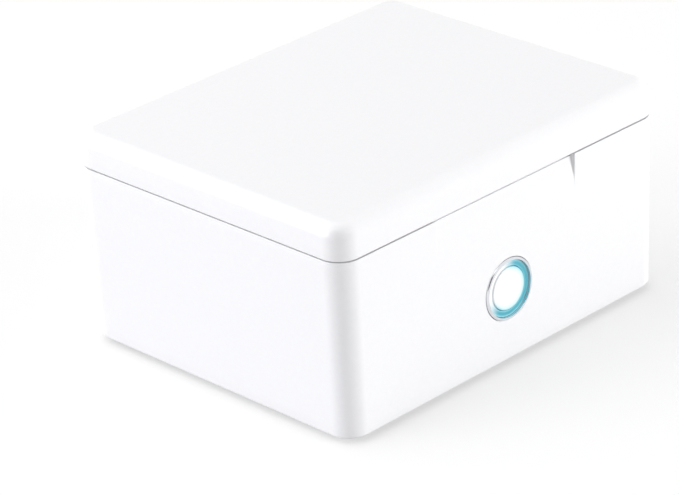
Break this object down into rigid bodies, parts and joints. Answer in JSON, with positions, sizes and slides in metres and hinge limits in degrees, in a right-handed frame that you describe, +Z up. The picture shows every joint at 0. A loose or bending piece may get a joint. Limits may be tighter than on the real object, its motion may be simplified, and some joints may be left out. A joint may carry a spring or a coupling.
{
  "type": "hearing aid dryer",
  "caption": "Small white box with a hinged lid over a heated drying chamber, a lit round push button on the front and a power socket at the rear.",
  "frame": {"origin": "on the table, under the middle of the box", "axes": "the front with the button faces -Y, +X is to the right seen from the front, +Z is up"},
  "size_m": [0.0924, 0.0758, 0.047],
  "materials": {
    "white_plastic": "moulded ABS, satin gloss",
    "cap_plastic": "moulded, satin gloss",
    "liner_plastic": "moulded, satin",
    "dark_plastic": "moulded, matt",
    "chrome": "bright plated",
    "steel": "zinc plated",
    "magnet_plate": "nickel plated",
    "brass": "turned",
    "aluminium": "pressed, satin",
    "light_pipe": "clear acrylic lit from behind",
    "rubber": "moulded, matt",
    "silicone": "moulded, satin",
    "circuit_board": "solder mask over glass fibre laminate",
    "ceramic": "sintered, matt",
    "quartz": "polished",
    "lead_jacket": "extruded, satin"
  },
  "bodies": {
    "base": {"base_shell": "white_plastic", "bottom_cover": "white_plastic", "cover_screw_front_left": "steel", "cover_screw_front_right": "steel", "cover_screw_rear_left": "steel", "cover_screw_rear_right": "steel", "foot_front_left": "rubber", "foot_front_right": "rubber", "foot_rear_left": "rubber", "foot_rear_right": "rubber", "chamber_tub": "aluminium", "drying_tray": "liner_plastic", "heater_frame": "dark_plastic", "heater_element": "ceramic", "heater_fins_front": "aluminium", "heater_fins_rear": "aluminium", "fan_housing": "dark_plastic", "fan_bearing": "brass", "fan_screw_left": "steel", "fan_screw_right": "steel", "main_board": "circuit_board", "board_screw_left": "steel", "board_screw_right": "steel", "usb_socket": "steel", "controller_chip": "dark_plastic", "capacitor": "aluminium", "fan_connector": "liner_plastic", "button_connector": "liner_plastic", "lamp_connector": "liner_plastic", "bezel_ring": "chrome", "light_ring": "light_pipe", "button_bracket": "dark_plastic", "button_board": "circuit_board", "switch_body": "dark_plastic", "ring_led_upper_left": "ceramic", "ring_led_upper_right": "ceramic", "ring_led_lower_left": "ceramic", "ring_led_lower_right": "ceramic", "button_screw_left": "steel", "button_screw_right": "steel", "lid_sensor": "dark_plastic", "lamp_window": "quartz", "lamp_led": "ceramic", "lamp_board": "circuit_board", "hinge_pin_left": "steel", "hinge_pin_right": "steel", "base_magnet_left": "magnet_plate", "base_magnet_right": "magnet_plate", "fan_lead": "lead_jacket", "heater_lead": "lead_jacket", "button_lead": "lead_jacket", "lamp_lead": "lead_jacket"},
    "lid": {"lid_shell": "white_plastic", "lid_liner": "liner_plastic", "lid_seal": "silicone", "lid_magnet_left": "magnet_plate", "lid_magnet_right": "magnet_plate"},
    "button": {"button_cap": "cap_plastic", "switch_plunger": "dark_plastic"},
    "rotor": {"fan_rotor": "dark_plastic"}
  },
  "joints": [
    {"name": "lid_hinge", "type": "hinge", "parent": "base", "child": "lid", "pos_m": [0, 0.03565, 0.0353], "axis": [-1, 0, 0], "range_deg": [0, 100]},
    {"name": "button_press", "type": "slide", "parent": "base", "child": "button", "axis": [0, 1, 0], "range_m": [0, 0.0005], "stiffness_N_per_m": 1500, "springref_m": -0.0003},
    {"name": "fan_spin", "type": "hinge", "parent": "base", "child": "rotor", "pos_m": [0, -0.00197, 0.0094], "axis": [0, 0, 1], "continuous": true}
  ]
}
